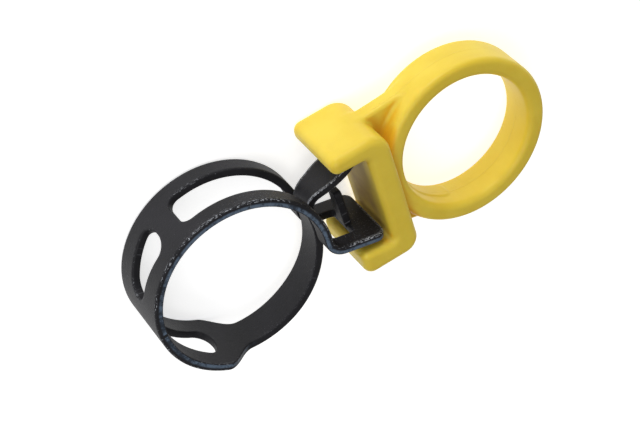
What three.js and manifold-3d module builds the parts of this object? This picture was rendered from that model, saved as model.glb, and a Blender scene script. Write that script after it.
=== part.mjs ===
// Spring-band hose clamp held open by a moulded pull-off retainer.
// Millimetres, +Z up. The hose axis is Z, the origin is the centre of the bore at half the band's
// width, and +X points at the finger ring, which is the way the retainer pulls off.
import * as THREE from 'three';
import { mergeVertices } from 'three/addons/utils/BufferGeometryUtils.js';
import Module from 'manifold-3d';

const wasm = await Module();
wasm.setup();

// ---- driving dimensions -------------------------------------------------------------------

const BAND_WIDTH = 15;
const SHEET = 1.6; // thickness of the spring steel
const BORE_RADIUS = 16.5; // inside the band while the retainer holds it open
const MID_RADIUS = BORE_RADIUS + SHEET / 2;
const TONGUE_WIDTH = 6.9; // at the shoulder; the tongue then tapers to pass through the long slot
const NARROW_TANG_WIDTH = 5.5;
const NARROW_TIP_WIDTH = 7.4; // the narrow tang widens towards its tip
const NARROW_FLARE = [2, 9]; // from and to, measured from the start of its bend
const TONGUE_TAPER = [290, 364]; // angles between which it tapers to the narrow tang's width
const SLOT_WIDTH = 7.6; // the long slot between the two legs
const FLEX_ANGLE = 144; // where the back of the band bends, either side of +X, in degrees
const PART_GAP = 0.3; // between neighbouring solids
const CUTTER = SHEET * 3; // thickness of a strip that cuts a slot through the sheet

const BEND_RADIUS = 3.4; // mid-sheet radius where band turns out into a tang
const WIDE_TURN_AT = -4; // angle on the band where the legs turn out, in degrees
const WIDE_HEADING = -13.6; // direction of the wide tang, in degrees from +X
const WIDE_LENGTH = 8.5; // straight part of the wide tang
const CROSSBAR = 5.1; // solid end of the wide tang, past the long slot
const NARROW_TURN_AT = 8;
const NARROW_HEADING = 18;
const NARROW_LENGTH = 5.6;
const CURL_RADIUS = 7; // the narrow tang's tip curls up under the retainer's flange
const CURL_TURN = 32;

const LUG_WIDTH = 2.9; // stop lug that stands up from the crossbar
const LUG_FACE_X = 22.8;
const LUG_TOP_Y = 3;
const LUG_REACH = 4; // how far the lug's root runs into the crossbar
const LUG_ROOT_RADIUS = [1.5, 0.8]; // outside and inside of the fold
const TANG_CORNER = 2; // rounding of the wide tang's two corners
const TIP_CORNER = 1.2; // the same on the narrow tang

const LONG_SLOT_END = 108; // slot ends round the band, in degrees
const UPPER_SLOT = [123, 166];
const LOWER_SLOT = [240.5, 197.5];
const FLEX_SLOT_WIDTH = [7.6, 4]; // of those two slots, at their wide and narrow ends
const FLEX_SLOT_ROUND = 9; // degrees taken by each round end
const SHOULDER = [240, 262]; // full width narrows to the tongue between these angles

const CLIP_WIDTH = 15.6;
const CLIP_MOUTH_X = 22;
const CLIP_WALL_X = 29; // inner face of the back wall
const CLIP_BACK_X = 34;
const CLIP_TOP_Y = 15.4;
const CLIP_BOTTOM_Y = -13.6;
const UPPER_FLANGE_Y = [11.7, 11.3]; // inner face at the mouth and at the back wall
const LOWER_FLANGE_Y = [-8, -9];
const CLIP_EDGE = 1.3; // rounding along the two side faces

const RING_X = 49.9; // centre of the finger ring
const RING_OUTER = 17.15;
const RING_INNER = 13.35; // at the crown of the inner face
const RING_CROWN = 0.35; // the inner face rises this much towards the middle of its width
const RING_WIDTH = 8.6;
const RING_EDGE = 1.1;
const NECK_ROOT_Y = [14.8, 12.6]; // where the web leaves the block, above and below
const NECK_RUN_OUT = 0.15; // and how far its edge still rises inside the block
const NECK_MEETS_RING = 115; // where it runs out on the ring, in degrees from +X
const NECK_Z = [-2.6, 0.8]; // the web's two faces
const OVERLAP = 2; // how far pieces of the retainer run into each other before they are joined

// ---- helpers ------------------------------------------------------------------------------

const radians = THREE.MathUtils.degToRad;
const HALF_GAP_ANGLE = THREE.MathUtils.radToDeg(PART_GAP / 2 / MID_RADIUS);

// One closed body from a three.js geometry, for cutting and joining.
function solid(geometry) {
  const bare = geometry.index ? geometry.toNonIndexed() : geometry.clone();
  for (const name of Object.keys(bare.attributes)) {
    if (name !== 'position') bare.deleteAttribute(name);
  }
  const merged = mergeVertices(bare, 1e-4);
  return new wasm.Manifold(new wasm.Mesh({
    numProp: 3,
    vertProperties: new Float32Array(merged.attributes.position.array),
    triVerts: new Uint32Array(merged.index.array),
  }));
}

function geometryOf(body) {
  const mesh = body.getMesh();
  const geometry = new THREE.BufferGeometry();
  geometry.setAttribute('position', new THREE.BufferAttribute(mesh.vertProperties, 3));
  geometry.setIndex(new THREE.BufferAttribute(mesh.triVerts, 1));
  const flat = geometry.toNonIndexed();
  flat.computeVertexNormals();
  return flat;
}

function steps(from, to, count) {
  return Array.from({ length: count + 1 }, (_, i) => from + ((to - from) * i) / count);
}

// A strip of sheet that follows a path: at each station, path(u) gives the middle of the sheet
// and its outward direction, and halfWidth(u) gives how far it reaches along Z.
function ribbon(path, stations, halfWidth, thickness) {
  const points = [];
  for (const u of stations) {
    const { x, y, out } = path(u);
    const w = halfWidth(u);
    for (const [side, z] of [[-1, -w], [1, -w], [1, w], [-1, w]]) {
      const reach = (side * thickness) / 2;
      points.push(x + out.x * reach, y + out.y * reach, z);
    }
  }
  const faces = [];
  const last = (stations.length - 1) * 4;
  for (let base = 0; base < last; base += 4) {
    for (let k = 0; k < 4; k += 1) {
      const next = (k + 1) % 4;
      faces.push(base + k, base + 4 + k, base + next);
      faces.push(base + next, base + 4 + k, base + 4 + next);
    }
  }
  faces.push(0, 1, 2, 0, 2, 3);
  faces.push(last, last + 2, last + 1, last, last + 3, last + 2);
  const geometry = new THREE.BufferGeometry();
  geometry.setAttribute('position', new THREE.Float32BufferAttribute(points, 3));
  geometry.setIndex(faces);
  const body = solid(geometry);
  return body.volume() > 0 ? body : solid(flipped(geometry));
}

function flipped(geometry) {
  const index = Array.from(geometry.index.array);
  for (let i = 0; i < index.length; i += 3) [index[i], index[i + 1]] = [index[i + 1], index[i]];
  const turned = geometry.clone();
  turned.setIndex(index);
  return turned;
}

// Outline through corners given as [x, y, radius], each corner rounded by a true arc.
function roundedShape(corners) {
  const shape = new THREE.Shape();
  corners.forEach(([x, y, radius], i) => {
    const corner = new THREE.Vector2(x, y);
    const before = new THREE.Vector2(...corners.at(i - 1));
    const after = new THREE.Vector2(...corners[(i + 1) % corners.length]);
    const back = before.sub(corner).normalize();
    const ahead = after.sub(corner).normalize();
    const half = Math.acos(back.dot(ahead)) / 2;
    const run = radius / Math.tan(half);
    const start = corner.clone().addScaledVector(back, run);
    const end = corner.clone().addScaledVector(ahead, run);
    const middle = back.clone().add(ahead).normalize();
    const centre = corner.clone().addScaledVector(middle, radius / Math.sin(half));
    const angle = (point) => Math.atan2(point.y - centre.y, point.x - centre.x);
    const clockwise = back.cross(ahead) > 0;
    if (i === 0) shape.moveTo(start.x, start.y);
    else shape.lineTo(start.x, start.y);
    shape.absarc(centre.x, centre.y, radius, angle(start), angle(end), clockwise);
  });
  shape.closePath();
  return shape;
}

// A plate between two heights in Z, with rounded edges if asked.
function plate(shape, low, high, edge = 0, curveSegments = 6) {
  const geometry = new THREE.ExtrudeGeometry(shape, {
    depth: high - low - 2 * edge,
    bevelEnabled: edge > 0,
    bevelThickness: edge,
    bevelSize: edge,
    bevelOffset: -edge,
    bevelSegments: 3,
    curveSegments,
  });
  geometry.translate(0, 0, low + edge);
  return solid(geometry);
}

// ---- the spring band ----------------------------------------------------------------------

// The middle of the sheet on the round part of the band, by angle in degrees from +X.
function onBand(angle) {
  const out = new THREE.Vector2(Math.cos(radians(angle)), Math.sin(radians(angle)));
  return { x: MID_RADIUS * out.x, y: MID_RADIUS * out.y, out };
}

// The middle of the sheet past the round part: a bend outwards, a straight run and a curl.
// turn is 1 for the wide tang, which the band reaches going clockwise, and -1 for the narrow one.
// Distances are measured along the sheet from the point where the band turns out.
function onTang(turnAt, heading, straight, turn) {
  const away = radians(turnAt);
  const centre = new THREE.Vector2(Math.cos(away), Math.sin(away));
  centre.multiplyScalar(MID_RADIUS + BEND_RADIUS);
  const startHeading = turnAt - 90 * turn;
  const bendTurn = radians(heading - startHeading) * turn;
  const bendLength = BEND_RADIUS * bendTurn;
  const sheet = (middle, direction, radius) => {
    const left = new THREE.Vector2(-Math.sin(direction), Math.cos(direction));
    const spot = middle.clone().addScaledVector(left, -turn * radius);
    return { x: spot.x, y: spot.y, out: left.multiplyScalar(turn) };
  };
  const end = radians(heading);
  const straightEnd = new THREE.Vector2(Math.cos(end), Math.sin(end)).multiplyScalar(straight);
  const sideways = new THREE.Vector2(-Math.sin(end), Math.cos(end));
  const curlCentre = centre.clone().add(straightEnd);
  curlCentre.addScaledVector(sideways, BEND_RADIUS + CURL_RADIUS);
  const at = (distance) => {
    if (distance <= bendLength) {
      return sheet(centre, radians(startHeading) + (turn * distance) / BEND_RADIUS, BEND_RADIUS);
    }
    const along = distance - bendLength;
    if (along <= straight) {
      const spot = sheet(centre, end, BEND_RADIUS);
      return { x: spot.x + along * Math.cos(end), y: spot.y + along * Math.sin(end), out: spot.out };
    }
    return sheet(curlCentre, end + (along - straight) / CURL_RADIUS, turn * CURL_RADIUS);
  };
  return { at, bendLength };
}

// Half the width of a tang whose two end corners are rounded.
function roundedEnd(half, length, radius) {
  return (distance) => {
    const past = Math.max(0, distance - (length - radius));
    return half - radius + Math.sqrt(Math.max(0, radius * radius - past * past));
  };
}

// Half the width of the narrow tang, which widens from its bend to its rounded tip.
function flaredEnd(length) {
  const tip = roundedEnd(NARROW_TIP_WIDTH / 2, length, TIP_CORNER);
  const narrower = (NARROW_TIP_WIDTH - NARROW_TANG_WIDTH) / 2;
  return (distance) => (
    tip(distance) - narrower * (1 - THREE.MathUtils.smoothstep(distance, ...NARROW_FLARE))
  );
}

function tangStations(bendLength, length, radius) {
  const bend = steps(0, bendLength, 8);
  const run = steps(bendLength, length - radius, 5).slice(1);
  const corner = steps(0, 90, 5).slice(1).map((a) => length - radius + radius * Math.sin(radians(a)));
  return [...bend, ...run, ...corner];
}

// Half the width of the round part: full, then a smooth shoulder down to the tapered tongue.
function bandHalfWidth(angle) {
  const shoulder = THREE.MathUtils.smoothstep(angle, ...SHOULDER);
  const taper = THREE.MathUtils.smoothstep(angle, ...TONGUE_TAPER);
  const tongue = THREE.MathUtils.lerp(TONGUE_WIDTH, NARROW_TANG_WIDTH, taper);
  return THREE.MathUtils.lerp(BAND_WIDTH, tongue, shoulder) / 2;
}

function arcStations(from, to) {
  return steps(from, to, Math.ceil(Math.abs(to - from) / 3));
}

// A tapered slot with round ends, wide at its first angle and narrow at its second.
function flexSlot([wideEnd, narrowEnd]) {
  const length = Math.abs(narrowEnd - wideEnd);
  const sliver = 0.05;
  const halfWidth = (angle) => {
    const along = Math.abs(angle - wideEnd) / length;
    const taper = THREE.MathUtils.lerp(...FLEX_SLOT_WIDTH, along) / 2;
    const fromEnd = Math.min(along, 1 - along) * length;
    const round = Math.min(1, fromEnd / FLEX_SLOT_ROUND);
    return sliver + taper * Math.sqrt(1 - (1 - round) ** 2);
  };
  const dense = steps(0, 1, 36).map((f) => (1 - Math.cos(Math.PI * f)) / 2);
  const stations = dense.map((f) => wideEnd + (narrowEnd - wideEnd) * f);
  return ribbon(onBand, stations, halfWidth, CUTTER);
}

function bandBack() {
  const stations = arcStations(FLEX_ANGLE + HALF_GAP_ANGLE, 360 - FLEX_ANGLE - HALF_GAP_ANGLE);
  return ribbon(onBand, stations, bandHalfWidth, SHEET)
    .subtract(flexSlot(UPPER_SLOT))
    .subtract(flexSlot(LOWER_SLOT));
}

// The lug is the tongue of sheet left in the slot's mouth, folded up square to the crossbar.
function stopLug(plateTop) {
  const lean = Math.tan(radians(WIDE_HEADING));
  const under = (x) => plateTop - SHEET + lean * x;
  const over = (x) => plateTop - 0.2 + lean * x;
  const back = LUG_FACE_X + SHEET;
  const root = LUG_FACE_X + LUG_REACH;
  const corners = [
    [LUG_FACE_X, LUG_TOP_Y, 0.3],
    [LUG_FACE_X, under(LUG_FACE_X), LUG_ROOT_RADIUS[0]],
    [root, under(root), 0.2],
    [root, over(root), 0.2],
    [back, over(back), LUG_ROOT_RADIUS[1]],
    [back, LUG_TOP_Y, 0.3],
  ];
  return plate(roundedShape(corners), -LUG_WIDTH / 2, LUG_WIDTH / 2, 0, 4);
}

function slottedArm() {
  const tang = onTang(WIDE_TURN_AT, WIDE_HEADING, WIDE_LENGTH, 1);
  const length = tang.bendLength + WIDE_LENGTH;
  const slotLength = length - CROSSBAR;
  const stations = arcStations(FLEX_ANGLE - HALF_GAP_ANGLE, WIDE_TURN_AT);
  const round = ribbon(onBand, stations, bandHalfWidth, SHEET);
  const end = ribbon(
    tang.at,
    tangStations(tang.bendLength, length, TANG_CORNER),
    roundedEnd(BAND_WIDTH / 2, length, TANG_CORNER),
    SHEET,
  );
  const slotRound = 2;
  const innerCorner = 0.5;
  const slotHalf = roundedEnd(SLOT_WIDTH / 2, radians(LONG_SLOT_END) * MID_RADIUS, slotRound);
  const onLongSlot = (distance) => onBand(THREE.MathUtils.radToDeg(distance / MID_RADIUS));
  const slotStart = radians(WIDE_TURN_AT) * MID_RADIUS;
  const slotEnd = radians(LONG_SLOT_END) * MID_RADIUS;
  const slotStations = [
    ...steps(slotStart, slotEnd - slotRound, 38),
    ...steps(15, 90, 5).map((a) => slotEnd - slotRound + slotRound * Math.sin(radians(a))),
  ];
  const roundSlot = ribbon(onLongSlot, slotStations, slotHalf, CUTTER);
  const tangSlot = ribbon(
    tang.at,
    tangStations(tang.bendLength, slotLength, innerCorner),
    roundedEnd(SLOT_WIDTH / 2, slotLength, innerCorner),
    CUTTER,
  );
  const top = tang.at(length);
  const plateTop = top.y + (SHEET / 2) * top.out.y - Math.tan(radians(WIDE_HEADING)) * top.x;
  return round.add(end).subtract(roundSlot).subtract(tangSlot).subtract(flexSlot(UPPER_SLOT))
    .add(stopLug(plateTop));
}

function tongueArm() {
  const tang = onTang(NARROW_TURN_AT, NARROW_HEADING, NARROW_LENGTH, -1);
  const length = tang.bendLength + NARROW_LENGTH + CURL_RADIUS * radians(CURL_TURN);
  const stations = arcStations(360 - FLEX_ANGLE + HALF_GAP_ANGLE, 360 + NARROW_TURN_AT);
  const round = ribbon(onBand, stations, bandHalfWidth, SHEET);
  const end = ribbon(
    tang.at,
    tangStations(tang.bendLength, length, TIP_CORNER),
    flaredEnd(length),
    SHEET,
  );
  return round.add(end).subtract(flexSlot(LOWER_SLOT));
}

// ---- the retainer -------------------------------------------------------------------------

function clipChannel() {
  const corners = [
    [CLIP_MOUTH_X, CLIP_TOP_Y, 1.8],
    [CLIP_MOUTH_X, UPPER_FLANGE_Y[0], 1.6],
    [CLIP_WALL_X, UPPER_FLANGE_Y[1], 0.8],
    [CLIP_WALL_X, LOWER_FLANGE_Y[1], 0.8],
    [CLIP_MOUTH_X, LOWER_FLANGE_Y[0], 1.5],
    [CLIP_MOUTH_X, CLIP_BOTTOM_Y, 2],
    [CLIP_BACK_X, CLIP_BOTTOM_Y, 3.2],
    [CLIP_BACK_X, CLIP_TOP_Y, 4.4],
  ];
  return plate(roundedShape(corners), -CLIP_WIDTH / 2, CLIP_WIDTH / 2, CLIP_EDGE);
}

function fingerRing() {
  const half = RING_WIDTH / 2;
  const profile = roundedShape([
    [RING_INNER, 0, 0.01],
    [RING_INNER + RING_CROWN, -half, RING_EDGE],
    [RING_OUTER, -half, RING_EDGE],
    [RING_OUTER, half, RING_EDGE],
    [RING_INNER + RING_CROWN, half, RING_EDGE],
  ]).getPoints(3);
  const ring = new THREE.LatheGeometry([...profile, profile[0]], 60);
  ring.rotateX(Math.PI / 2);
  ring.translate(RING_X, 0, 0);
  return solid(ring);
}

// One edge of the web between block and ring, above the middle for side 1 and below it for -1.
function neckHalf(side, rootY) {
  const meet = radians(NECK_MEETS_RING);
  const end = new THREE.Vector2(RING_X + RING_OUTER * Math.cos(meet), RING_OUTER * Math.sin(meet));
  const shape = new THREE.Shape();
  shape.moveTo(CLIP_WALL_X + OVERLAP, 0);
  shape.lineTo(RING_X - RING_OUTER + OVERLAP, 0);
  shape.lineTo(end.x + OVERLAP / 5, side * (end.y - OVERLAP / 2));
  shape.lineTo(end.x, side * end.y);
  shape.quadraticCurveTo((CLIP_BACK_X + end.x) / 2, side * (rootY + 0.2), CLIP_BACK_X - 1, side * rootY);
  shape.lineTo(CLIP_WALL_X + OVERLAP, side * (rootY + NECK_RUN_OUT));
  return plate(shape, ...NECK_Z, 0, 8);
}

function retainerClip() {
  return clipChannel().add(neckHalf(1, NECK_ROOT_Y[0])).add(neckHalf(-1, NECK_ROOT_Y[1]))
    .add(fingerRing());
}

// ---- the assembly -------------------------------------------------------------------------

function springSteel() {
  return new THREE.MeshStandardMaterial({ color: '#26262a', roughness: 0.45, metalness: 0.75 });
}

function yellowNylon() {
  return new THREE.MeshStandardMaterial({ color: '#e0bd38', roughness: 0.5, metalness: 0 });
}

function part(name, body, material) {
  const mesh = new THREE.Mesh(geometryOf(body), material);
  mesh.name = name;
  return mesh;
}

const band = new THREE.Group();
band.add(part('band_back', bandBack(), springSteel()));
band.add(part('slotted_arm', slottedArm(), springSteel()));
band.add(part('tongue_arm', tongueArm(), springSteel()));

const clamp = new THREE.Group();
clamp.add(band);
clamp.add(part('retainer_clip', retainerClip(), yellowNylon()));

export default clamp;
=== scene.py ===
import math

import bpy
import numpy as np
from mathutils import Matrix, Vector
from mathutils.geometry import delaunay_2d_cdt
from mathutils.kdtree import KDTree


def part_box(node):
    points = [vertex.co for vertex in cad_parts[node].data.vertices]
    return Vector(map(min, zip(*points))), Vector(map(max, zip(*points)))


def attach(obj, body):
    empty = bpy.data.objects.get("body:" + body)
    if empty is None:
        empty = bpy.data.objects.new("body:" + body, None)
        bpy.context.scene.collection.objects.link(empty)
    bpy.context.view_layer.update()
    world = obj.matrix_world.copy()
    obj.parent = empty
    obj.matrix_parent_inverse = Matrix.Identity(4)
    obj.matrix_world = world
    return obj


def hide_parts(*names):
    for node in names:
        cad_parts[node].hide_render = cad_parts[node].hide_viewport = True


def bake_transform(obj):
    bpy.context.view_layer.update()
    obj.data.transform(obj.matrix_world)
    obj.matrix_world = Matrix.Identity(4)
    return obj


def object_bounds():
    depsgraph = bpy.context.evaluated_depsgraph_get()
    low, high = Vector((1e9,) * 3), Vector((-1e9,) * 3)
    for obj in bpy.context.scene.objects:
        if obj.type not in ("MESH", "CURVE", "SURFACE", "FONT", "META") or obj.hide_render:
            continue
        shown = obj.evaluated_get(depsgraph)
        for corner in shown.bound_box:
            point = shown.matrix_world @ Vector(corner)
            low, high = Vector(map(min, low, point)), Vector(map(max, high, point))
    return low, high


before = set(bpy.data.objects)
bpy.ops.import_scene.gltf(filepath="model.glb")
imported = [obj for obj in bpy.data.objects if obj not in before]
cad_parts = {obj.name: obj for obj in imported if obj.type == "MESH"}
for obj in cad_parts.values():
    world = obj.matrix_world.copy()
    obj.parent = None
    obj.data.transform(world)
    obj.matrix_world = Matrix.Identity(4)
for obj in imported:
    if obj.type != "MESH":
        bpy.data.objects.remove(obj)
cad_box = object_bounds()

# The looks of a spring band hose clamp that a moulded retainer with a finger ring holds open.
# The hose axis is Z and the retainer pulls off along +X. Sizes are in millimetres and angles in
# degrees from +X round the hose axis, unless a comment says otherwise. Meshes are in metres.

MM = 0.001


def box_mm(node):
    """The lowest and highest corners of a CAD node."""
    low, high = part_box(node)
    return Vector(low) / MM, Vector(high) / MM


back_low, back_high = box_mm("band_back")
clip_low, clip_high = box_mm("retainer_clip")

# ---- the band ---------------------------------------------------------------------------------
SHEET = 1.6
BAND_HALF = back_high.z  # half the band's width
MID_RADIUS = -back_low.x - SHEET / 2  # of the middle of the sheet
WIDE_TURN_AT, NARROW_TURN_AT = -4, 368  # where the band turns out into a tang
WIDE_HEADING, NARROW_HEADING = -13.6, 18  # the way each tang points
WIDE_STRAIGHT, NARROW_STRAIGHT = 8.5, 5.6
BEND_RADIUS = 3.4
CURL_RADIUS, CURL_TURN = 7, 32  # the narrow tang's end curls outwards
LINE_STEP = 0.1  # between points on the centre line

# ---- the band's blank; a half is half a width ---------------------------------------------------
CROSSBAR = 5.1  # what the long slot leaves at the end of the wide tang
TANG_CORNER, TIP_CORNER = 2, 1.2
LONG_SLOT_HALF, LONG_SLOT_END = 3.8, 108
LONG_SLOT_CORNERS = (0.5, 2)  # at the crossbar and at the other end
FLEX_SLOTS = ((123, 166), (240.5, 197.5))  # each from its wide end to its narrow end
FLEX_SLOT_HALVES = (3.85, 2.05)
FLEX_SLOT_ROUND = 9  # how long each of its round ends is
FLEX_SLOT_STEPS = 40
SHOULDER = (240, 262)  # where the band narrows to the tongue
TONGUE_HALF, TANG_HALF, TIP_HALF = 3.45, 2.75, 3.7
TONGUE_TAPER = (290, 364)
TANG_FLARE = (2, 9)  # the narrow tang widens to its tip, from and to, along it from its bend
LUG_HALF, LUG_CORNER, LUG_BEND = 1.45, 0.8, 1.1
LUG_MID_X, LUG_TOP_Y, LUG_ROOT_X = 23.6, 3, 27
LUG_THINNER = 0.04  # than the crossbar that it runs into, so that no two faces lie together
SEAM = 180  # the stiff middle of the back, where the two halves of the band meet
SEAM_CLEAR = 2.5  # the seam's inner points stop this many edge roundings from its ends

# ---- the band's edges and wear ------------------------------------------------------------------
ROLLED_CORNER, BURR_CORNER = 0.42, 0.2  # edge roundings on the outer and the inner face
ROLLED_STEPS, BURR_STEPS = 4, 3
HOLD = 0.25  # a last ring of points that keeps each face flat up to its rounding
POINT_GAP = 0.35  # between points along the edges
LATTICE = (0.6, 0.75)  # between points across a face, along the band and across it
SHARP_FROM = 50  # edges that turn more than this stay crisp
FAR_FROM_EDGE = 9  # stands for any distance at which no wear shows
BARE_EDGE_ENDS = (245, 268)  # round the band, the bare sheared edge is coated over from here on
NARROW_WORN, WIDE_WORN = (372, 380), (-16, -24)  # where the tangs' edges are worn bright
WIDE_WEAR = 0.5  # how worn the wide tang is, where the narrow one is 1
SAME_PLACE = 1e-6
BAND_FACTS = ("rim", "edge_distance", "outer", "bare", "tang")  # kept at each point of the band

# ---- the retainer -----------------------------------------------------------------------------
MOUTH_X, WALL_X, BACK_X = clip_low.x, 29, 34
CLIP_Y = (-13.6, 15.4)
CLIP_HALF = clip_high.z
CLIP_CORNERS = ((2, 1.8), (3.2, 4.4))  # mouth and back, each below and above
CLIP_EDGE, MOUTH_EDGE, CHANNEL_CORNER = 1.5, 1.5, 0.9
UPPER_FLANGE_Y, LOWER_FLANGE_Y = (11.7, 11.3), (-8, -9)  # at the mouth and at the wall
RING_OUTER, RING_INNER, RING_CROWN = 17.15, 13.35, 0.35
CROWN_ENDS = 1.2  # the finger hole stops widening this many half widths from its middle
RING_X = clip_high.x - RING_OUTER
RING_HALF, RING_EDGE, BORE_CORNER = 4.3, 1.1, 0.2
NECK_Z = (-2.6, 0.8)  # the web's two faces
NECK_ROOT_Y, NECK_ROOT_X = (14.85, 12.6), 33  # where it leaves the block, above and below
NECK_MEETS_RING = 115
NECK_STRAIGHT = 0.4  # the share of its edge's fall that is straight; the rest is curved
NECK_STARTS, NECK_OVERLAP = 0.9, 2  # past the channel's wall, and into the ring
NECK_EDGE = 0.8
FILLET = 0.8

# ---- the retainer's mesh and wear ---------------------------------------------------------------
VOXEL = 0.27
WELD_WITHIN = 0.01
SETTLE_ROUNDS, STILL_ROUNDS = 12, 2  # all rounds, and the last ones, which only settle
LONGEST_STEP = 0.3  # of a point in one round
LEAST_STEEP = 0.2  # the least square of the shape's slope that a step is measured by
EVENING = 0.5  # how much of the way to the middle of its neighbours a point drifts
SLOPE_STEP = 0.02
PARTING_FROM = BACK_X + 1  # the mould's parting line shows from here on
UPRIGHT_FALL = (1.3, 2)  # how fast a face stops counting as upright as it turns to face along Z
CREASE = 3  # how far off a surface its neighbours reach to paint crease shade on it
CREASE_SLOPE = 0.5  # the least slope that this reach is measured by
SCUFF_SHADE_HALF = 3.4  # the channel's painted shade and scuffs reach this far either side of its middle
SCUFF_SHADE_FADE, SCUFF_SHADE_FAINT = (2.5, 0.8), 0.2  # off the wall: from faint to full, as painted shade deepening towards the wall
SCUFF_SHADE_SIDE = 0.2  # short of the open sides the painted shade and scuffs have faded out
JAW_SLACK_X, JAW_SLACK_Y = 0.1, 0.2  # so that the channel's own faces count as inside it

# ---- colours, linear --------------------------------------------------------------------------
COAT_TONES = ((0.0085, 0.0085, 0.0105, 1), (0.0165, 0.0160, 0.0195, 1))
LAND_TONES = ((0.024, 0.032, 0.046, 1), (0.105, 0.146, 0.205, 1))  # coated over, and bare
BRIGHT_STEEL = (0.44, 0.46, 0.50, 1)
NYLON_TONES = ((0.750, 0.550, 0.045, 1), (0.805, 0.612, 0.064, 1))
# painted shade with scuffs: the brown that the channel's inside is darkened to, most towards its
# back wall
NYLON_SCUFF_SHADE = (0.185, 0.098, 0.068, 1)
NYLON_SPECK = (0.42, 0.26, 0.04, 1)
# painted shade: the deeper, warmer colour of the creases, standing in for occlusion and light
# bounced inside the nylon
NYLON_CREASE_SHADE = (0.78, 0.40, 0.006, 1)
WHITE = (1, 1, 1, 1)
FLOOR_TONE = (0.86, 0.86, 0.86, 1)

# ---- the studio, in metres and watts ------------------------------------------------------------
FLOOR_Z = cad_box[0][2] - 0.05 * MM  # just clear of the object's lowest face
FLOOR_HALF, FLOOR_GLOW = 1.5, 0.62
TARGET = Vector((19.53, -0.40, 0)) * MM
CAMERA_DISTANCE = 0.3441
CAMERA_AZIMUTH, CAMERA_ELEVATION, CAMERA_ROLL = 107.9, 46.29, 136.18
LENS, FILM_WIDTH = 105.23, 36  # both in millimetres
NEAREST_SEEN, FURTHEST_SEEN = 0.01, 10
SKY_STRENGTH = 0.34
LAMPS = {  # place, size and power
    "key": ((0.04, 0.68, 0.08), 0.36, 2.45),
    "fill": ((-0.30, 0.16, 0.62), 0.5, 1.65),
}


# ================================ shared helpers ===============================================

def put_in_scene(name, data):
    """A new object at the origin."""
    made = bpy.data.objects.new(name, data)
    bpy.context.scene.collection.objects.link(made)
    return made


def object_from(name, vertices, faces):
    """A new mesh object."""
    mesh = bpy.data.meshes.new(name)
    mesh.from_pydata(vertices, [], faces)
    return put_in_scene(name, mesh)


def store(mesh, label, values):
    """Keeps a number at each point of a mesh, for its material to read."""
    layer = mesh.attributes.new(label, "FLOAT", "POINT")
    layer.data.foreach_set("value", np.asarray(values, np.float32))


def finished_mesh(piece):
    """Works the piece's modifiers into its mesh, and leaves it as a plain one."""
    depsgraph = bpy.context.evaluated_depsgraph_get()
    mesh = bpy.data.meshes.new_from_object(
        piece.evaluated_get(depsgraph), preserve_all_data_layers=True, depsgraph=depsgraph)
    mesh.name = piece.name
    piece.modifiers.clear()
    piece.data = mesh
    mesh.shade_smooth()
    return piece


def material(name, **sockets):
    """A new material and its surface shader, with the even values set on the shader itself."""
    made = bpy.data.materials.new(name)
    made.use_nodes = True
    shader = made.node_tree.nodes["Principled BSDF"]
    for socket, value in sockets.items():
        shader.inputs[socket.replace("_", " ")].default_value = value
    return made, shader


def add(tree, kind, **settings):
    """A new node."""
    made = tree.nodes.new(kind)
    for key, value in settings.items():
        setattr(made, key, value)
    return made


def feed(tree, socket, value):
    """Links an output, or sets a plain value."""
    if isinstance(value, bpy.types.NodeSocket):
        tree.links.new(value, socket)
    else:
        socket.default_value = value


def calc(tree, operation, *values):
    """A sum on numbers."""
    made = add(tree, "ShaderNodeMath", operation=operation)
    for socket, value in zip(made.inputs, values):
        feed(tree, socket, value)
    return made.outputs[0]


def weighed(tree, value, by, plus):
    """A value times one number or output, plus another."""
    return calc(tree, "MULTIPLY_ADD", value, by, plus)


def vector_calc(tree, operation, first, second):
    """A sum on two vectors, or on a vector and the number that scales it."""
    made = add(tree, "ShaderNodeVectorMath", operation=operation)
    feed(tree, made.inputs[0], first)
    feed(tree, made.inputs["Scale"] if operation == "SCALE" else made.inputs[1], second)
    return made.outputs[0]


def ramp(tree, value, low, high):
    """0 below low, 1 above high and smooth between; low may be the greater of the two."""
    made = add(tree, "ShaderNodeMapRange", interpolation_type="SMOOTHSTEP")
    for socket, given in zip(made.inputs, (value, low, high, 0.0, 1.0)):
        feed(tree, socket, given)
    return made.outputs[0]


def blend_colour(tree, share, first, second):
    """The first colour where share is 0 and the second where it is 1."""
    made = add(tree, "ShaderNodeMix", data_type="RGBA")
    feed(tree, made.inputs["Factor"], share)
    feed(tree, made.inputs["A"], first)
    feed(tree, made.inputs["B"], second)
    return made.outputs["Result"]


def noise(tree, place, scale, detail=4.0, roughness=0.55):
    """Even noise from 0 to 1; scale is how many of its cells go into a metre."""
    made = add(tree, "ShaderNodeTexNoise")
    feed(tree, made.inputs["Vector"], place)
    made.inputs["Scale"].default_value = scale
    made.inputs["Detail"].default_value = detail
    made.inputs["Roughness"].default_value = roughness
    return made.outputs["Fac"]


def attribute(tree, name):
    """A number that was kept at each point of the mesh."""
    return add(tree, "ShaderNodeAttribute", attribute_name=name).outputs["Fac"]


def stretched(tree, place, scale):
    """A place with each axis scaled on its own, so that a pattern on it is drawn out."""
    made = add(tree, "ShaderNodeMapping")
    feed(tree, made.inputs["Vector"], place)
    made.inputs["Scale"].default_value = scale
    return made.outputs["Vector"]


def bump(tree, height, depth, below=None):
    """Relief whose height runs from 0 to 1 over the given depth in metres."""
    made = add(tree, "ShaderNodeBump")
    made.inputs["Strength"].default_value = 1.0
    made.inputs["Distance"].default_value = depth
    feed(tree, made.inputs["Height"], height)
    if below is not None:
        feed(tree, made.inputs["Normal"], below)
    return made.outputs["Normal"]


# ================================ the spring band ==============================================

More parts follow.
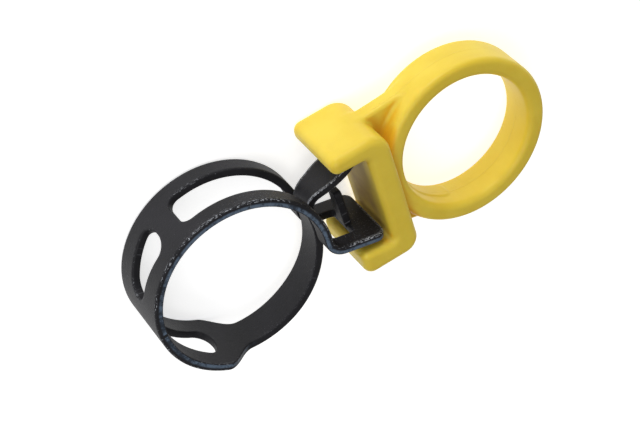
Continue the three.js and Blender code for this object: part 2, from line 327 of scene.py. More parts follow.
def walk(start, heading, stretches):
    """Points along a path of (length, curvature) stretches, about LINE_STEP apart."""
    x, y = start
    points = [(x, y)]
    for length, curvature in stretches:
        count = max(1, round(length / LINE_STEP))
        run = length / count
        for _ in range(count):
            middle = heading + curvature * run / 2
            x += math.cos(middle) * run
            y += math.sin(middle) * run
            heading += curvature * run
            points.append((x, y))
    return points


def along(angle):
    """Distance along the middle of the sheet from +X to an angle round the band."""
    return MID_RADIUS * math.radians(angle)


WIDE_BEND = BEND_RADIUS * math.radians(WIDE_HEADING - (WIDE_TURN_AT - 90))
NARROW_BEND = BEND_RADIUS * math.radians(NARROW_TURN_AT - 360 + 90 - NARROW_HEADING)
CURL = CURL_RADIUS * math.radians(CURL_TURN)
WIDE_TIP = along(WIDE_TURN_AT) - WIDE_BEND - WIDE_STRAIGHT
NARROW_TIP = along(NARROW_TURN_AT) + NARROW_BEND + NARROW_STRAIGHT + CURL


def centre_line():
    """The middle of the sheet from the wide tang's end to the narrow tang's tip."""
    onward = walk((MID_RADIUS, 0), math.radians(90), [
        (along(NARROW_TURN_AT), 1 / MID_RADIUS),
        (NARROW_BEND, -1 / BEND_RADIUS),
        (NARROW_STRAIGHT, 0),
        (CURL, 1 / CURL_RADIUS),
    ])
    back = walk((MID_RADIUS, 0), math.radians(-90), [
        (-along(WIDE_TURN_AT), -1 / MID_RADIUS),
        (WIDE_BEND, 1 / BEND_RADIUS),
        (WIDE_STRAIGHT, 0),
    ])
    return back[:0:-1] + onward


def lug_line(tang_end):
    """The middle of the lug: along the crossbar it is folded from, then up."""
    tang_heading = math.radians(WIDE_HEADING)
    heading = tang_heading + math.pi
    fold_x = LUG_MID_X + LUG_BEND * (1 - math.sin(heading))
    slope = math.tan(tang_heading)
    start = (LUG_ROOT_X, tang_end[1] + slope * (LUG_ROOT_X - tang_end[0]))
    root = (LUG_ROOT_X - fold_x) / math.cos(tang_heading)
    fold = heading - math.radians(90)
    fold_top = start[1] + slope * (fold_x - LUG_ROOT_X) - LUG_BEND * math.cos(heading)
    return walk(start, heading, [
        (root, 0),
        (LUG_BEND * fold, -1 / LUG_BEND),
        (LUG_TOP_Y - fold_top, 0),
    ])


def curve_from(name, points):
    """A curve object through points given in millimetres."""
    curve = bpy.data.curves.new(name, "CURVE")
    curve.dimensions = "3D"
    spline = curve.splines.new("POLY")
    spline.points.add(len(points) - 1)
    flat = [c for x, y in points for c in (x * MM, y * MM, 0.0, 1.0)]
    spline.points.foreach_set("co", flat)
    return put_in_scene(name, curve)


def smooth_step(value, low, high):
    """0 before low, 1 past high and smooth between; low may be the greater of the two."""
    t = min(1, max(0, (value - low) / (high - low)))
    return t * t * (3 - 2 * t)


# The blank lies flat: x runs along it, measured as along() does, and z runs across it.

def free_half_width(distance):
    """Half the width of the blank at a distance along it, corners aside."""
    angle = math.degrees(distance / MID_RADIUS)
    tongue = TONGUE_HALF + (TANG_HALF - TONGUE_HALF) * smooth_step(angle, *TONGUE_TAPER)
    past_bend = distance - along(NARROW_TURN_AT)
    tongue += (TIP_HALF - TANG_HALF) * smooth_step(past_bend, *TANG_FLARE)
    return BAND_HALF + (tongue - BAND_HALF) * smooth_step(angle, *SHOULDER)


def quarter(centre, radius, first, count=7):
    """Points on a quarter circle that starts at an angle and runs anticlockwise."""
    angles = [math.radians(first + 90 * i / (count - 1)) for i in range(count)]
    return [(centre[0] + radius * math.cos(a), centre[1] + radius * math.sin(a)) for a in angles]


def fill_in(loop):
    """The closed loop with points added wherever two neighbours are too far apart."""
    filled = []
    for (x0, y0), (x1, y1) in zip(loop, loop[1:] + loop[:1]):
        count = max(1, math.ceil(math.hypot(x1 - x0, y1 - y0) / POINT_GAP))
        filled += [(x0 + (x1 - x0) * i / count, y0 + (y1 - y0) * i / count) for i in range(count)]
    return filled


def points_between(first, second):
    """Points on the straight line between two others, which are left out."""
    there_and_back = fill_in([first, second])
    return there_and_back[1:len(there_and_back) // 2]


def free_edge(start, end, side):
    """One free edge of the blank between two distances; side is 1 or -1."""
    count = max(2, round(abs(end - start) / POINT_GAP))
    stations = [start + (end - start) * i / count for i in range(count + 1)]
    return [(s, side * free_half_width(s)) for s in stations]


def seam_points(distance, first_side):
    """The seam's inner points, kept clear of the rounded corners at its two ends."""
    reach = free_half_width(distance) - SEAM_CLEAR * ROLLED_CORNER
    count = round(2 * reach / POINT_GAP)
    return [(distance, first_side * reach * (1 - 2 * i / count)) for i in range(count + 1)]


def slotted_outline(seam):
    """Anticlockwise outline of the half with the slot, from the wide tang's end."""
    start, half, r = WIDE_TIP, BAND_HALF, TANG_CORNER
    corner_low = quarter((start + r, r - half), r, 180)
    corner_high = quarter((start + r, half - r), r, 90)
    low = free_edge(start + r, seam, -1)[1:]
    high = free_edge(seam, start + r, 1)[:-1]
    end = points_between(corner_high[-1], corner_low[0])
    return corner_low + low + seam_points(seam, -1) + high + corner_high + end


def tongue_outline(seam):
    """Anticlockwise outline of the half with the tongue, from the seam."""
    tip, half, r = NARROW_TIP, TIP_HALF, TIP_CORNER
    corner_low = quarter((tip - r, r - half), r, 270)
    corner_high = quarter((tip - r, half - r), r, 0)
    low = free_edge(seam, tip - r, -1)[:-1]
    high = free_edge(tip - r, seam, 1)[1:]
    end = points_between(corner_low[-1], corner_high[0])
    return low + corner_low + end + corner_high + high + seam_points(seam, 1)


def rounded_box(low, high, half, low_corner, high_corner):
    """Anticlockwise outline of a box along the blank, with its own rounding at each end."""
    a, b = low_corner, high_corner
    return fill_in(
        quarter((low + a, a - half), a, 180) + quarter((high - b, b - half), b, 270)
        + quarter((high - b, half - b), b, 0) + quarter((low + a, half - a), a, 90))


def flex_slot(wide_end, narrow_end):
    """A tapered slot with round ends, anticlockwise."""
    length = abs(narrow_end - wide_end)
    wide, narrow = FLEX_SLOT_HALVES
    count = FLEX_SLOT_STEPS
    shares = [(1 - math.cos(math.pi * i / count)) / 2 for i in range(count + 1)]
    edge = []
    for share in shares:
        from_end = min(share, 1 - share) * length
        rounding = math.sqrt(1 - (1 - min(1, from_end / FLEX_SLOT_ROUND)) ** 2)
        half = (wide + (narrow - wide) * share) * rounding
        edge.append((along(wide_end + (narrow_end - wide_end) * share), half))
    loop = [(s, -z) for s, z in edge] + [(s, z) for s, z in edge[-2:0:-1]]
    return fill_in(loop if narrow_end > wide_end else loop[::-1])


def inside(points, loops):
    """Which points lie within an odd number of the loops."""
    odd = np.zeros(len(points), bool)
    for loop in loops:
        a, b = loop, np.roll(loop, -1, axis=0)
        for (x0, y0), (x1, y1) in zip(a, b):
            if y0 != y1:
                spans = (points[:, 1] < max(y0, y1)) & (points[:, 1] >= min(y0, y1))
                crossing = x0 + (points[:, 1] - y0) * (x1 - x0) / (y1 - y0)
                odd ^= spans & (points[:, 0] < crossing)
    return odd


def edge_profile(thickness):
    """Rows across a sheared edge, as (inset, height, how far it is edge, how far it is outer)."""
    top, foot = thickness / 2, -thickness / 2
    rows = [(ROLLED_CORNER + HOLD, top, 0, 1)]
    for step in range(ROLLED_STEPS + 1):
        turn = 90 * step / ROLLED_STEPS
        s, c = math.sin(math.radians(turn)), math.cos(math.radians(turn))
        rows.append((ROLLED_CORNER * (1 - s), top - ROLLED_CORNER * (1 - c), turn / 90, 1))
    rows.append((0, (top - ROLLED_CORNER + foot + BURR_CORNER) / 2, 1, 0.5))
    for step in range(BURR_STEPS, -1, -1):
        turn = 90 * step / BURR_STEPS
        s, c = math.sin(math.radians(turn)), math.cos(math.radians(turn))
        rows.append((BURR_CORNER * (1 - s), foot + BURR_CORNER * (1 - c), turn / 90, 0))
    rows.append((BURR_CORNER + HOLD, foot, 0, 0))
    return rows


def inward(loop, seam):
    """For each point, the way its edge rows step in and the way the holding ring steps in."""
    ahead, behind = np.roll(loop, -1, axis=0), np.roll(loop, 1, axis=0)
    tangent = (ahead - behind) / np.linalg.norm(ahead - behind, axis=1)[:, None]
    rounding = np.stack([-tangent[:, 1], tangent[:, 0]], axis=1)
    holding = rounding.copy()
    if seam is not None:
        on_seam = np.abs(loop[:, 0] - seam) < SAME_PLACE
        corner = on_seam & (np.abs(loop[:, 1]) > free_half_width(seam) - SAME_PLACE)
        across = np.stack([np.zeros(len(loop)), -np.sign(loop[:, 1])], axis=1)
        centre_side = np.sign(loop[:, 0].mean() - seam)
        rounding[on_seam], holding[on_seam] = 0, (centre_side, 0)
        rounding[corner], holding[corner] = across[corner], across[corner]
    return rounding, holding


def edge_wear(x):
    """How bare the outer edge is, and how far it is a worn tang's, at a distance along."""
    turn = math.degrees(x / MID_RADIUS)
    worn = max(smooth_step(turn, *NARROW_WORN), WIDE_WEAR * smooth_step(turn, *WIDE_WORN))
    return 1 - smooth_step(turn, *BARE_EDGE_ENDS), worn


class Blank:
    """A flat sheet in the making: its places, the facts kept at each of them, and its faces.
    The loops are its outline and its holes, all anticlockwise. A blank without a seam is not
    part of the band's own strip, and no wear shows on it."""

    def __init__(self, loops, thickness=SHEET, seam=None):
        self.loops = [np.array(loops[0])] + [np.array(hole[::-1]) for hole in loops[1:]]
        self.thickness, self.seam = thickness, seam
        self.places, self.facts, self.faces = [], [], []

    def add_edge(self, loop, profile, is_outline):
        """The rows of one sheared edge; returns where its first and last rows start."""
        rounding, holding = inward(loop, self.seam)
        seamed = np.zeros(len(loop), bool)
        if self.seam is not None:
            seamed = np.abs(loop[:, 0] - self.seam) < SAME_PLACE
        first, count, last_row = len(self.places), len(loop), len(profile) - 1
        for row, (inset, height, rim, outer) in enumerate(profile):
            held = HOLD if row in (0, last_row) else 0
            spots = loop + rounding * (inset - held) + holding * held
            for (x, z), is_seam in zip(spots, seamed):
                clear = FAR_FROM_EDGE if is_seam or self.seam is None else inset
                bare, worn = edge_wear(x) if is_outline else (0, 0)
                self.places.append((x, height, z))
                self.facts.append((0 if is_seam else rim, clear, outer, bare, worn))
        for row in range(last_row):
            a, b = first + row * count, first + (row + 1) * count
            for i in range(count):
                j = (i + 1) % count
                self.faces.append((a + i, a + j, b + j, b + i))
        return first, first + last_row * count, count

    def inner_points(self):
        """An even lattice of points well inside the edges, each with its distance from them."""
        seam, outline = self.seam, self.loops[0]
        free = [p for loop in self.loops for p in loop
                if seam is None or abs(p[0] - seam) > SAME_PLACE]
        near = KDTree(len(free))
        for i, (x, z) in enumerate(free):
            near.insert((x, z, 0), i)
        near.balance()
        grid = np.array([
            (x, z)
            for x in np.arange(outline[:, 0].min(), outline[:, 0].max(), LATTICE[0])
            for z in np.arange(-BAND_HALF, BAND_HALF, LATTICE[1])
        ])
        found = []
        for x, z in grid[inside(grid, self.loops)]:
            clear = near.find((x, z, 0))[2]
            off_seam = seam is None or abs(x - seam) > HOLD + POINT_GAP
            if clear > ROLLED_CORNER + HOLD + POINT_GAP and off_seam:
                found.append((x, z, clear))
        return found

    def add_face(self, side, rings, inner):
        """One flat face between the edges' rows: side 0 is the outer face and 1 the inner."""
        height = -self.thickness / 2 if side else self.thickness / 2
        ids, edges, borders = [], [], []
        for ring in rings:
            start, count = len(ids), ring[2]
            row = range(ring[side], ring[side] + count)
            ids += row
            edges += [(start + i, start + (i + 1) % count) for i in range(count)]
            borders.append(np.array([(self.places[v][0], self.places[v][2]) for v in row]))
        for x, z, clear in inner:
            ids.append(len(self.places))
            self.places.append((x, height, z))
            self.facts.append((0, FAR_FROM_EDGE if self.seam is None else clear, 1 - side, 0, 0))
        flat = [Vector((self.places[v][0], self.places[v][2])) for v in ids]
        spots, _, triangles, origin, _, _ = delaunay_2d_cdt(flat, edges, [], 0, SAME_PLACE / 10)
        spots = np.array([tuple(v) for v in spots])
        middles = spots[np.array(triangles)].mean(axis=1)
        for triangle, wanted in zip(triangles, inside(middles, borders)):
            if wanted:
                corners = [ids[origin[v][0]] for v in triangle]
                self.faces.append(corners if side else corners[::-1])

    def as_object(self, name):
        """The finished blank: X along it from its start, Y through it, Z across it."""
        profile = edge_profile(self.thickness)
        rings = [self.add_edge(loop, profile, which == 0 and self.seam is not None)
                 for which, loop in enumerate(self.loops)]
        inner = self.inner_points()
        for side in (0, 1):
            self.add_face(side, rings, inner)
        start = self.loops[0][:, 0].min() if self.seam is None else WIDE_TIP
        vertices = [((x - start) * MM, y * MM, z * MM) for x, y, z in self.places]
        blank = object_from(name, vertices, self.faces)
        mesh = blank.data
        for label, values in zip(BAND_FACTS, zip(*self.facts)):
            store(mesh, label, values)
        uv = mesh.uv_layers.new(name="blank")
        for corner in mesh.loops:
            x, _, z = vertices[corner.vertex_index]
            uv.data[corner.index].uv = (x, z)
        return blank


def roll_tree():
    """Geometry nodes that bend a flat blank along a centre line, as rolling does."""
    tree = bpy.data.node_groups.new("roll_along_centre_line", "GeometryNodeTree")
    for name, way, kind in (
            ("Blank", "INPUT", "NodeSocketGeometry"),
            ("Centre line", "INPUT", "NodeSocketObject"),
            ("Finish", "INPUT", "NodeSocketMaterial"),
            ("Rolled sheet", "OUTPUT", "NodeSocketGeometry")):
        tree.interface.new_socket(name, in_out=way, socket_type=kind)
    given = add(tree, "NodeGroupInput")
    line = add(tree, "GeometryNodeObjectInfo")
    tree.links.new(given.outputs["Centre line"], line.inputs["Object"])
    flat = add(tree, "ShaderNodeSeparateXYZ")
    tree.links.new(add(tree, "GeometryNodeInputPosition").outputs[0], flat.inputs[0])
    sample = add(tree, "GeometryNodeSampleCurve", mode="LENGTH")
    tree.links.new(line.outputs["Geometry"], sample.inputs["Curves"])
    tree.links.new(flat.outputs["X"], sample.inputs["Length"])
    outwards = vector_calc(tree, "CROSS_PRODUCT", sample.outputs["Tangent"], (0, 0, 1))
    through = vector_calc(tree, "SCALE", outwards, flat.outputs["Y"])
    across = add(tree, "ShaderNodeCombineXYZ")
    tree.links.new(flat.outputs["Z"], across.inputs["Z"])
    raised = vector_calc(tree, "ADD", sample.outputs["Position"], through)
    place = add(tree, "GeometryNodeSetPosition")
    tree.links.new(given.outputs["Blank"], place.inputs["Geometry"])
    tree.links.new(vector_calc(tree, "ADD", raised, across.outputs[0]), place.inputs["Position"])
    plain = add(tree, "GeometryNodeRealizeInstances")
    tree.links.new(place.outputs[0], plain.inputs[0])
    coat = add(tree, "GeometryNodeSetMaterial")
    tree.links.new(plain.outputs[0], coat.inputs["Geometry"])
    tree.links.new(given.outputs["Finish"], coat.inputs["Material"])
    tree.links.new(coat.outputs[0], add(tree, "NodeGroupOutput").inputs[0])
    return tree


def rolled(blank, tree, line, finish):
    """The blank bent along a line and given its finish, as a plain mesh."""
    roll = blank.modifiers.new("roll", "NODES")
    roll.node_group = tree
    inputs = {i.name: i.identifier for i in tree.interface.items_tree if i.in_out == "INPUT"}
    roll[inputs["Centre line"]] = line
    roll[inputs["Finish"]] = finish
    piece = finished_mesh(blank)
    piece.data.set_sharp_from_angle(angle=math.radians(SHARP_FROM))
    return piece


def joined(first, second):
    """The first object, with the second's mesh added to it."""
    with bpy.context.temp_override(active_object=first, selected_editable_objects=[first, second]):
        bpy.ops.object.join()
    return first


def spring_steel():
    """Dark coated spring steel: fine pitted coat, blue sheared edges, bright rubbed corners."""
    made, shader = material("spring_steel", IOR=1.5, Specular_IOR_Level=0.22)
    tree = made.node_tree
    place = add(tree, "ShaderNodeTexCoord").outputs["Object"]
    flat = add(tree, "ShaderNodeUVMap", uv_map="blank").outputs["UV"]
    rim, edge, outer, bare, tang = (attribute(tree, name) for name in BAND_FACTS)
    cloud = noise(tree, place, scale=140, detail=5)
    grain = noise(tree, place, scale=3200, detail=3)
    coat = blend_colour(tree, ramp(tree, cloud, low=0.3, high=0.7), *COAT_TONES)

    # the sheared edge: blue-grey steel towards the inner face, patchy where the coat ran over it
    patch = noise(tree, place, scale=900, detail=7, roughness=0.78)
    coated = ramp(tree, noise(tree, place, scale=55, detail=2), low=0.36, high=0.62)
    shown = ramp(tree, weighed(tree, coated, by=0.10, plus=patch), low=0.46, high=0.62)
    land = blend_colour(tree, shown, *LAND_TONES)
    on_land = calc(tree, "MULTIPLY", ramp(tree, rim, low=0.82, high=1.0),
                   ramp(tree, outer, low=0.85, high=0.45))
    on_land = calc(tree, "MULTIPLY", on_land, bare)
    colour = blend_colour(tree, on_land, coat, land)

    # rubbed corners: short bright dashes beside the outer corner, in patches
    dash = noise(tree, stretched(tree, flat, (1700, 7000, 1)), scale=1.0, detail=5, roughness=0.62)
    worn = ramp(tree, noise(tree, place, scale=95, detail=2), low=0.40, high=0.62)
    beside = ramp(tree, edge, low=0.75, high=0.1)
    off_land = calc(tree, "SUBTRACT", 1.0, ramp(tree, rim, low=0.75, high=0.98))
    often = weighed(tree, tang, by=0.13, plus=calc(tree, "MULTIPLY", worn, 0.09))
    bright = ramp(tree, calc(tree, "ADD", often, dash), low=0.615, high=0.70)
    # most on the outer face and beside bare edges, and on both faces of the tangs
    faced = calc(tree, "MAXIMUM", weighed(tree, outer, by=0.7, plus=0.3), tang)
    faced = calc(tree, "MULTIPLY", faced, calc(tree, "MAXIMUM", bare, 0.35))
    faced = calc(tree, "MAXIMUM", faced, calc(tree, "MULTIPLY", tang, 0.9))
    rubbed = calc(tree, "MULTIPLY", calc(tree, "MULTIPLY", bright, beside),
                  calc(tree, "MULTIPLY", off_land, faced))

    # fine scratches and pale specks in patches anywhere on the faces
    specks = noise(tree, stretched(tree, flat, (2100, 5200, 1)), scale=1.0, detail=4, roughness=0.6)
    scuffed = ramp(tree, noise(tree, place, scale=60, detail=2), low=0.52, high=0.68)
    speck = ramp(tree, weighed(tree, scuffed, by=0.09, plus=specks), low=0.69, high=0.75)
    pale = calc(tree, "MAXIMUM", rubbed, calc(tree, "MULTIPLY", speck, 0.30))
    feed(tree, shader.inputs["Base Color"], blend_colour(tree, pale, colour, BRIGHT_STEEL))

    rough = weighed(tree, cloud, by=0.25, plus=0.36)
    rough = weighed(tree, on_land, by=-0.08, plus=rough)
    feed(tree, shader.inputs["Roughness"], weighed(tree, grain, by=0.08, plus=rough))
    feed(tree, shader.inputs["Metallic"], calc(tree, "MULTIPLY", pale, 0.6))
    relief = bump(tree, grain, depth=0.03 * MM)
    feed(tree, shader.inputs["Normal"], bump(tree, patch, depth=0.06 * MM, below=relief))
    return made


def spring_band(steel):
    """The two halves of the one-piece band, each over its own flex zone."""
    points = centre_line()
    line = curve_from("centre_line", points)
    lug_curve = curve_from("lug_line", lug_line(points[0]))
    tree = roll_tree()
    seam = along(SEAM)
    long_slot = rounded_box(
        WIDE_TIP + CROSSBAR, along(LONG_SLOT_END), LONG_SLOT_HALF, *LONG_SLOT_CORNERS)
    slotted = Blank([slotted_outline(seam), long_slot, flex_slot(*FLEX_SLOTS[0])], seam=seam)
    slotted = rolled(slotted.as_object("band_slotted_half"), tree, line, steel)
    tongue = Blank([tongue_outline(seam), flex_slot(*FLEX_SLOTS[1])], seam=seam)
    tongue = rolled(tongue.as_object("band_tongue_half"), tree, line, steel)
    lug_points = lug_curve.data.splines[0].points
    lug_length = sum((b.co - a.co).length for a, b in zip(lug_points, lug_points[1:])) / MM
    lug = Blank([rounded_box(0, lug_length, LUG_HALF, LUG_CORNER, LUG_CORNER)],
                SHEET - LUG_THINNER)
    slotted = joined(slotted, rolled(lug.as_object("lug"), tree, lug_curve, steel))
    for used in (line, lug_curve):
        bpy.data.objects.remove(used)
    return slotted, tongue


# ================================ the retainer =================================================
# Its shape is a signed distance in millimetres, negative inside, put together from plain
# sections with true fillets. The mesh is settled onto it.

def shave(a, b, radius):
    """What two shapes share, with a rounded outer edge."""
    edge = np.hypot(np.maximum(a + radius, 0), np.maximum(b + radius, 0))
    return np.minimum(-radius, np.maximum(a, b)) + edge


def weld(a, b, radius):
    """Two shapes together, with a fillet where they meet."""
    edge = np.hypot(np.maximum(radius - a, 0), np.maximum(radius - b, 0))
    return np.maximum(radius, np.minimum(a, b)) - edge


def slide(value, start, end, first, last):
    """A straight change from first to last as value goes from start to end."""
    return first + (last - first) * np.clip((value - start) / (end - start), 0, 1)


def channel_shape(x, y, z):
    """The block that the two tangs sit in, open at its mouth and at both sides."""
    mid_x, mid_y = (MOUTH_X + BACK_X) / 2, sum(CLIP_Y) / 2
    mouth, back = CLIP_CORNERS
    corner = np.where(x < mid_x, np.where(y < mid_y, mouth[0], mouth[1]),
                      np.where(y < mid_y, back[0], back[1]))
    reach_x = np.abs(x - mid_x) - (BACK_X - MOUTH_X) / 2 + corner
    reach_y = np.abs(y - mid_y) - (CLIP_Y[1] - CLIP_Y[0]) / 2 + corner
    block = (np.minimum(np.maximum(reach_x, reach_y), 0)
             + np.hypot(np.maximum(reach_x, 0), np.maximum(reach_y, 0)) - corner)
    over = y - slide(x, MOUTH_X, WALL_X, *UPPER_FLANGE_Y)
    under = slide(x, MOUTH_X, WALL_X, *LOWER_FLANGE_Y) - y
    channel = shave(x - WALL_X, np.maximum(over, under), CHANNEL_CORNER)
    return shave(shave(block, -channel, MOUTH_EDGE), np.abs(z) - CLIP_HALF, CLIP_EDGE)


def bore_shape(x, y, z):
    """The finger hole, whose wall is crowned towards the middle of its width."""
    inner = RING_INNER + RING_CROWN * np.minimum(CROWN_ENDS, np.abs(z) / RING_HALF) ** 2
    return np.hypot(x - RING_X, y) - inner


def ring_shape(x, y, z):
    """The finger ring, with rounded rims."""
    section = shave(np.hypot(x - RING_X, y) - RING_OUTER, -bore_shape(x, y, z), BORE_CORNER)
    return shave(section, np.abs(z) - RING_HALF, RING_EDGE)


def neck_shape(x, y, z):
    """The web between block and ring, whose edges dip a little on their way to the ring."""
    meet = math.radians(NECK_MEETS_RING)
    end_x, end_y = RING_X + RING_OUTER * math.cos(meet), RING_OUTER * math.sin(meet)
    root_y = np.where(y > 0, *NECK_ROOT_Y)
    share = np.clip((x - NECK_ROOT_X) / (end_x - NECK_ROOT_X), 0, 1)
    fall = NECK_STRAIGHT * share + (1 - NECK_STRAIGHT) * share ** 2
    edge_y = root_y + (end_y - root_y) * fall
    ends = np.maximum(WALL_X + NECK_STARTS - x, x - end_x - NECK_OVERLAP)
    half = (NECK_Z[1] - NECK_Z[0]) / 2
    web = shave(np.maximum(np.abs(y) - edge_y, ends), np.abs(z - sum(NECK_Z) / 2) - half, NECK_EDGE)
    return np.maximum(web, -bore_shape(x, y, z))


def retainer_shape(points):
    """The whole retainer's signed distance at each point."""
    x, y, z = points.T
    body = weld(channel_shape(x, y, z), neck_shape(x, y, z), FILLET)
    return weld(body, ring_shape(x, y, z), FILLET)


def slope_of(points):
    """The way out of the shape at each point."""
    parts = []
    for axis in np.eye(3) * SLOPE_STEP:
        rise = retainer_shape(points + axis) - retainer_shape(points - axis)
        parts.append(rise / (2 * SLOPE_STEP))
    return np.stack(parts, axis=1)


def settle(points, links):
    """Moves the points onto the shape, and evens out their spacing on the way."""
    counts = np.bincount(links.ravel(), minlength=len(points))[:, None]
    for turn in range(SETTLE_ROUNDS):
        slope = slope_of(points)
        steep = np.maximum((slope ** 2).sum(axis=1), LEAST_STEEP)
        step = np.clip(retainer_shape(points) / steep, -LONGEST_STEP, LONGEST_STEP)
        points = points - step[:, None] * slope
        if turn < SETTLE_ROUNDS - STILL_ROUNDS:
            total = np.zeros_like(points)
            np.add.at(total, links[:, 0], points[links[:, 1]])
            np.add.at(total, links[:, 1], points[links[:, 0]])
            drift = total / counts - points
            normal = slope / np.sqrt(steep)[:, None]
            drift -= (drift * normal).sum(axis=1)[:, None] * normal
            points = points + EVENING * drift
    return points


def retainer_facts(points):
    """Where the parting line may run, where the channel is painted darker with shade and scuffs,
    and how far into a crease each point lies, for painted crease shade.
    """
    x, y, z = points.T
    slope = slope_of(points)
    full, fall = UPRIGHT_FALL
    upright = np.clip(full - fall * np.abs(slope[:, 2]), 0, 1) * (x > PARTING_FROM)
    # painted shade with scuffs: inside the channel, stronger towards its back wall and fading at
    # the open sides
    in_jaws = ((x < WALL_X + JAW_SLACK_X) & (y < UPPER_FLANGE_Y[0] + JAW_SLACK_Y)
               & (y > LOWER_FLANGE_Y[1] - JAW_SLACK_Y))
    faint, strong = (WALL_X - off for off in SCUFF_SHADE_FADE)
    rubbed = in_jaws * slide(x, faint, strong, SCUFF_SHADE_FAINT, 1) * slide(
        np.abs(z), SCUFF_SHADE_HALF, CLIP_HALF - SCUFF_SHADE_SIDE, 1, 0)
    # painted crease shade: how closely nearby faces close in on each point, as occlusion would
    reach = slope * CREASE / np.maximum(np.linalg.norm(slope, axis=1), CREASE_SLOPE)[:, None]
    tucked = np.clip(1 - retainer_shape(points + reach) / CREASE, 0, 1) * (1 - rubbed)
    return {"upright": upright, "rubbed": rubbed, "tucked": tucked}


def yellow_nylon():
    """Moulded yellow nylon: satin, a little translucent, finely textured, with painted shade and
    scuffs in the jaws and painted shade in its creases.
    """
    made, shader = material(
        "yellow_nylon", IOR=1.53, Subsurface_Weight=0.22, Subsurface_Scale=0.0014,
        Subsurface_Radius=(1.0, 0.62, 0.12), Specular_IOR_Level=0.3)
    tree = made.node_tree
    place = add(tree, "ShaderNodeTexCoord").outputs["Object"]
    flow = noise(tree, stretched(tree, place, (1, 1, 1.4)), scale=90)
    colour = blend_colour(tree, ramp(tree, flow, low=0.3, high=0.7), *NYLON_TONES)

    # painted shade and scuffs inside the channel, deepest towards its back wall
    smear = noise(tree, stretched(tree, place, (1, 1, 0.7)), scale=130, roughness=0.6)
    smear = ramp(tree, smear, low=0.25, high=0.8)
    scuff_and_shade = calc(tree, "MULTIPLY", attribute(tree, "rubbed"),
                 weighed(tree, smear, by=0.35, plus=0.55))
    colour = blend_colour(tree, scuff_and_shade, colour, NYLON_SCUFF_SHADE)
    speck = ramp(tree, noise(tree, place, scale=1700, detail=2), low=0.74, high=0.79)
    colour = blend_colour(tree, calc(tree, "MULTIPLY", speck, 0.35), colour, NYLON_SPECK)

    # painted shade: creases are painted a deeper, warmer colour, standing in for occlusion and
    # light bounced inside the nylon
    tucked = ramp(tree, attribute(tree, "tucked"), low=0.1, high=0.9)
    colour = blend_colour(tree, calc(tree, "MULTIPLY", tucked, 0.75), colour, NYLON_CREASE_SHADE)
    feed(tree, shader.inputs["Base Color"], colour)

    rough = weighed(tree, flow, by=0.16, plus=0.36)
    feed(tree, shader.inputs["Roughness"], weighed(tree, scuff_and_shade, by=0.15, plus=rough))
    depth = add(tree, "ShaderNodeSeparateXYZ")
    tree.links.new(place, depth.inputs[0])
    from_middle = calc(tree, "ABSOLUTE", depth.outputs["Z"])
    parting = calc(tree, "MULTIPLY", ramp(tree, from_middle, low=0.12 * MM, high=0.03 * MM),
                   attribute(tree, "upright"))
    relief = bump(tree, noise(tree, place, scale=2600, detail=3), depth=0.018 * MM)
    relief = bump(tree, noise(tree, place, scale=330, detail=3), depth=0.10 * MM, below=relief)
    feed(tree, shader.inputs["Normal"], bump(tree, parting, depth=0.05 * MM, below=relief))
    return made


def retainer(nylon):
    """The one-piece retainer, remeshed evenly and settled onto its filleted shape."""
    piece = put_in_scene("retainer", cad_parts["retainer_clip"].data.copy())
    merge = piece.modifiers.new("merge", "WELD")
    merge.merge_threshold = WELD_WITHIN * MM
    even = piece.modifiers.new("even", "REMESH")
    even.mode = "VOXEL"
    even.voxel_size = VOXEL * MM
    mesh = finished_mesh(piece).data
    points = np.empty(len(mesh.vertices) * 3)
    mesh.vertices.foreach_get("co", points)
    links = np.empty(len(mesh.edges) * 2, int)
    mesh.edges.foreach_get("vertices", links)
    points = settle(points.reshape(-1, 3) / MM, links.reshape(-1, 2))
    mesh.vertices.foreach_set("co", (points * MM).ravel())
    for label, values in retainer_facts(points).items():
        store(mesh, label, values)
    mesh.materials.clear()
    mesh.materials.append(nylon)
    mesh.update()
    return piece


# ================================ studio =======================================================

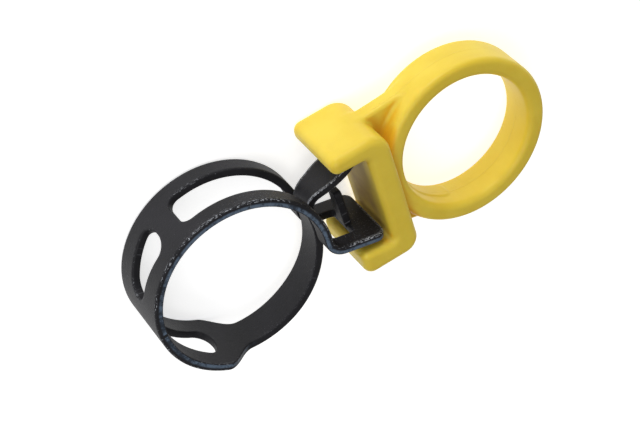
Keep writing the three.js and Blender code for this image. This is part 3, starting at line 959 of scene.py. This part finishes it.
def studio_camera():
    """The camera, aimed at the target and turned about its own axis by the roll."""
    data = bpy.data.cameras.new("studio_camera")
    data.lens, data.sensor_width = LENS, FILM_WIDTH
    data.clip_start, data.clip_end = NEAREST_SEEN, FURTHEST_SEEN
    camera = put_in_scene("studio_camera", data)
    azimuth, elevation, roll = (math.radians(a) for a in (
        CAMERA_AZIMUTH, CAMERA_ELEVATION, CAMERA_ROLL))
    back = Vector((math.cos(elevation) * math.cos(azimuth),
                   math.cos(elevation) * math.sin(azimuth), math.sin(elevation)))
    level = (-back).cross(Vector((0, 0, 1))).normalized()
    up = level.cross(-back)
    right = math.cos(roll) * level + math.sin(roll) * up
    above = -math.sin(roll) * level + math.cos(roll) * up
    turn = Matrix((right, above, back)).transposed().to_4x4()
    camera.matrix_world = Matrix.Translation(TARGET + CAMERA_DISTANCE * back) @ turn
    bpy.context.scene.camera = camera


def soft_lamp(name, place, size, watts):
    """A round soft lamp aimed at the target."""
    data = bpy.data.lights.new(name, "AREA")
    data.shape, data.size, data.energy = "DISK", size, watts
    lamp = put_in_scene(name, data)
    lamp.location = place
    aim = TARGET - Vector(place)
    lamp.rotation_euler = aim.to_track_quat("-Z", "Y").to_euler()


def studio_floor():
    """A pale floor that glows a little, so that its shadows stay light."""
    made, shader = material("pale_floor", Roughness=0.9, Specular_IOR_Level=0.1,
                            Emission_Strength=FLOOR_GLOW)
    shader.inputs["Base Color"].default_value = FLOOR_TONE
    shader.inputs["Emission Color"].default_value = WHITE
    corners = [(x * FLOOR_HALF, y * FLOOR_HALF, FLOOR_Z)
               for x, y in ((-1, -1), (1, -1), (1, 1), (-1, 1))]
    floor = object_from("floor", corners, [(0, 1, 2, 3)])
    floor.data.materials.append(made)


def studio():
    """The camera, the floor, an even white sky and two soft lamps."""
    studio_camera()
    studio_floor()
    world = bpy.data.worlds.new("studio")
    bpy.context.scene.world = world
    world.use_nodes = True
    sky = world.node_tree.nodes["Background"]
    sky.inputs["Color"].default_value = WHITE
    sky.inputs["Strength"].default_value = SKY_STRENGTH
    for name, (place, size, watts) in LAMPS.items():
        soft_lamp(name, place, size, watts)
    bpy.context.scene.view_settings.view_transform = "Standard"


# ================================ assembly =====================================================

steel = spring_steel()
nylon = yellow_nylon()
slotted_half, tongue_half = spring_band(steel)
clip = retainer(nylon)

for half, arm, replaced in ((slotted_half, "slotted_arm", ("slotted_arm", "band_back")),
                            (tongue_half, "tongue_arm", ("tongue_arm",))):
    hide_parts(*replaced)
    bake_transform(half)

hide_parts("retainer_clip")
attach(clip, "retainer")

studio()
